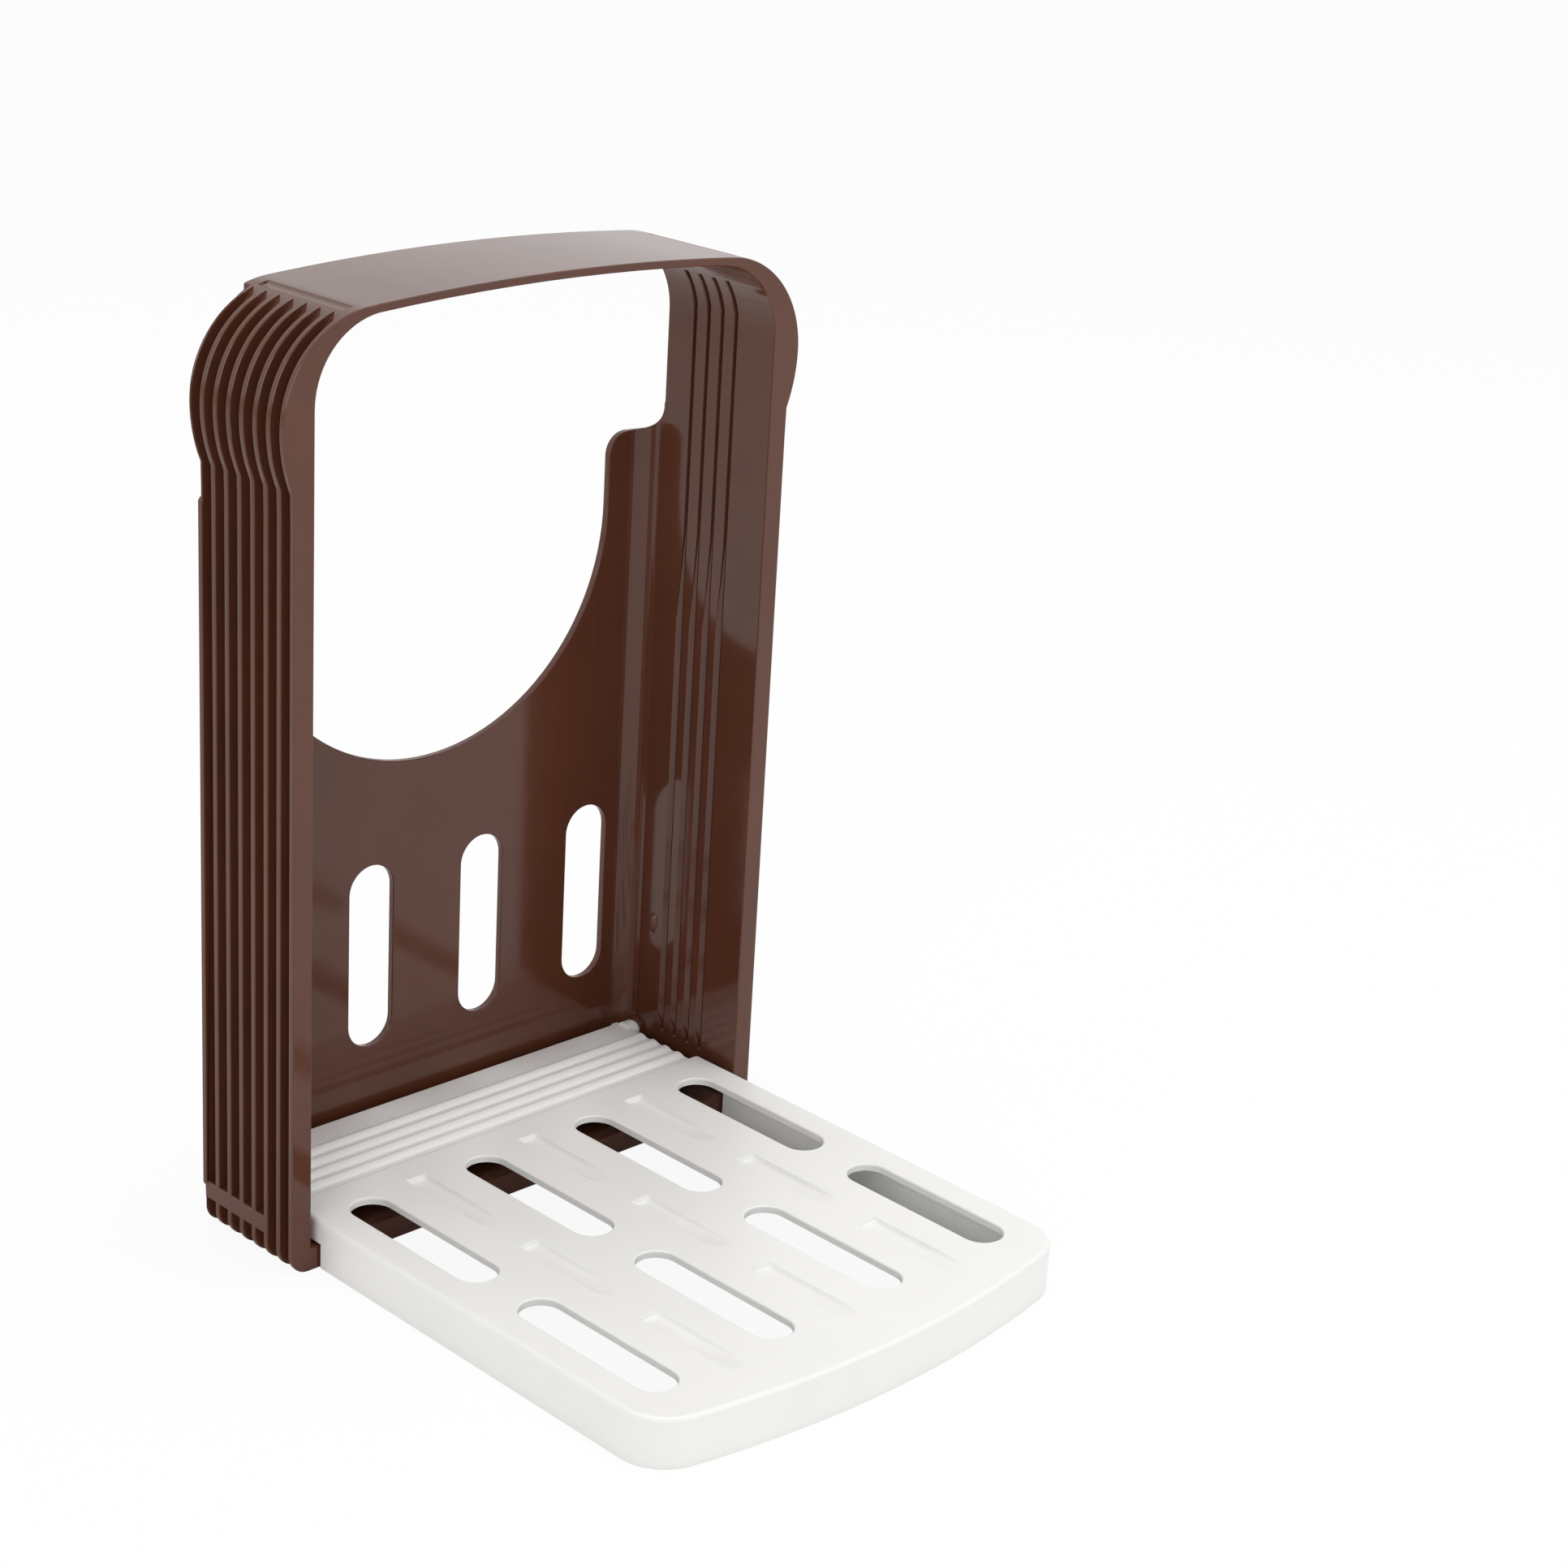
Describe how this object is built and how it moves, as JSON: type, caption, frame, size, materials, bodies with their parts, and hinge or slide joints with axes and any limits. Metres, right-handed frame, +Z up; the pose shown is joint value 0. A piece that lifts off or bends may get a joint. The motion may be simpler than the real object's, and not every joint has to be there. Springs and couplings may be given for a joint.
{
  "type": "bread slicer guide",
  "caption": "Upright ribbed frame with knife slits in both sides, a cut-out back panel and a slotted bread tray that folds up into the frame on a hinge.",
  "frame": {"origin": "centre of the bounding box in plan, at the table it stands on, with the tray folded down", "axes": "+Z up, +Y towards the back panel, -Y along the tray towards the front, +X to the right seen from the front"},
  "size_m": [0.1588, 0.1756, 0.2377],
  "materials": {
    "frame_plastic": "gloss brown",
    "tray_plastic": "semi-gloss off-white"
  },
  "bodies": {
    "frame": {"frame_arch": "frame_plastic", "frame_left_wall": "frame_plastic", "frame_right_wall": "frame_plastic", "frame_back_panel": "frame_plastic", "frame_floor": "frame_plastic", "frame_catch_bumps": "frame_plastic"},
    "tray": {"tray_deck": "tray_plastic", "tray_left_side": "tray_plastic", "tray_right_side": "tray_plastic", "tray_front_skirt": "tray_plastic", "tray_trunnions": "tray_plastic"}
  },
  "joints": [
    {"name": "tray_fold", "type": "hinge", "parent": "frame", "child": "tray", "pos_m": [0, 0.08, 0.01], "axis": [-1, 0, 0], "range_deg": [0, 90]}
  ]
}
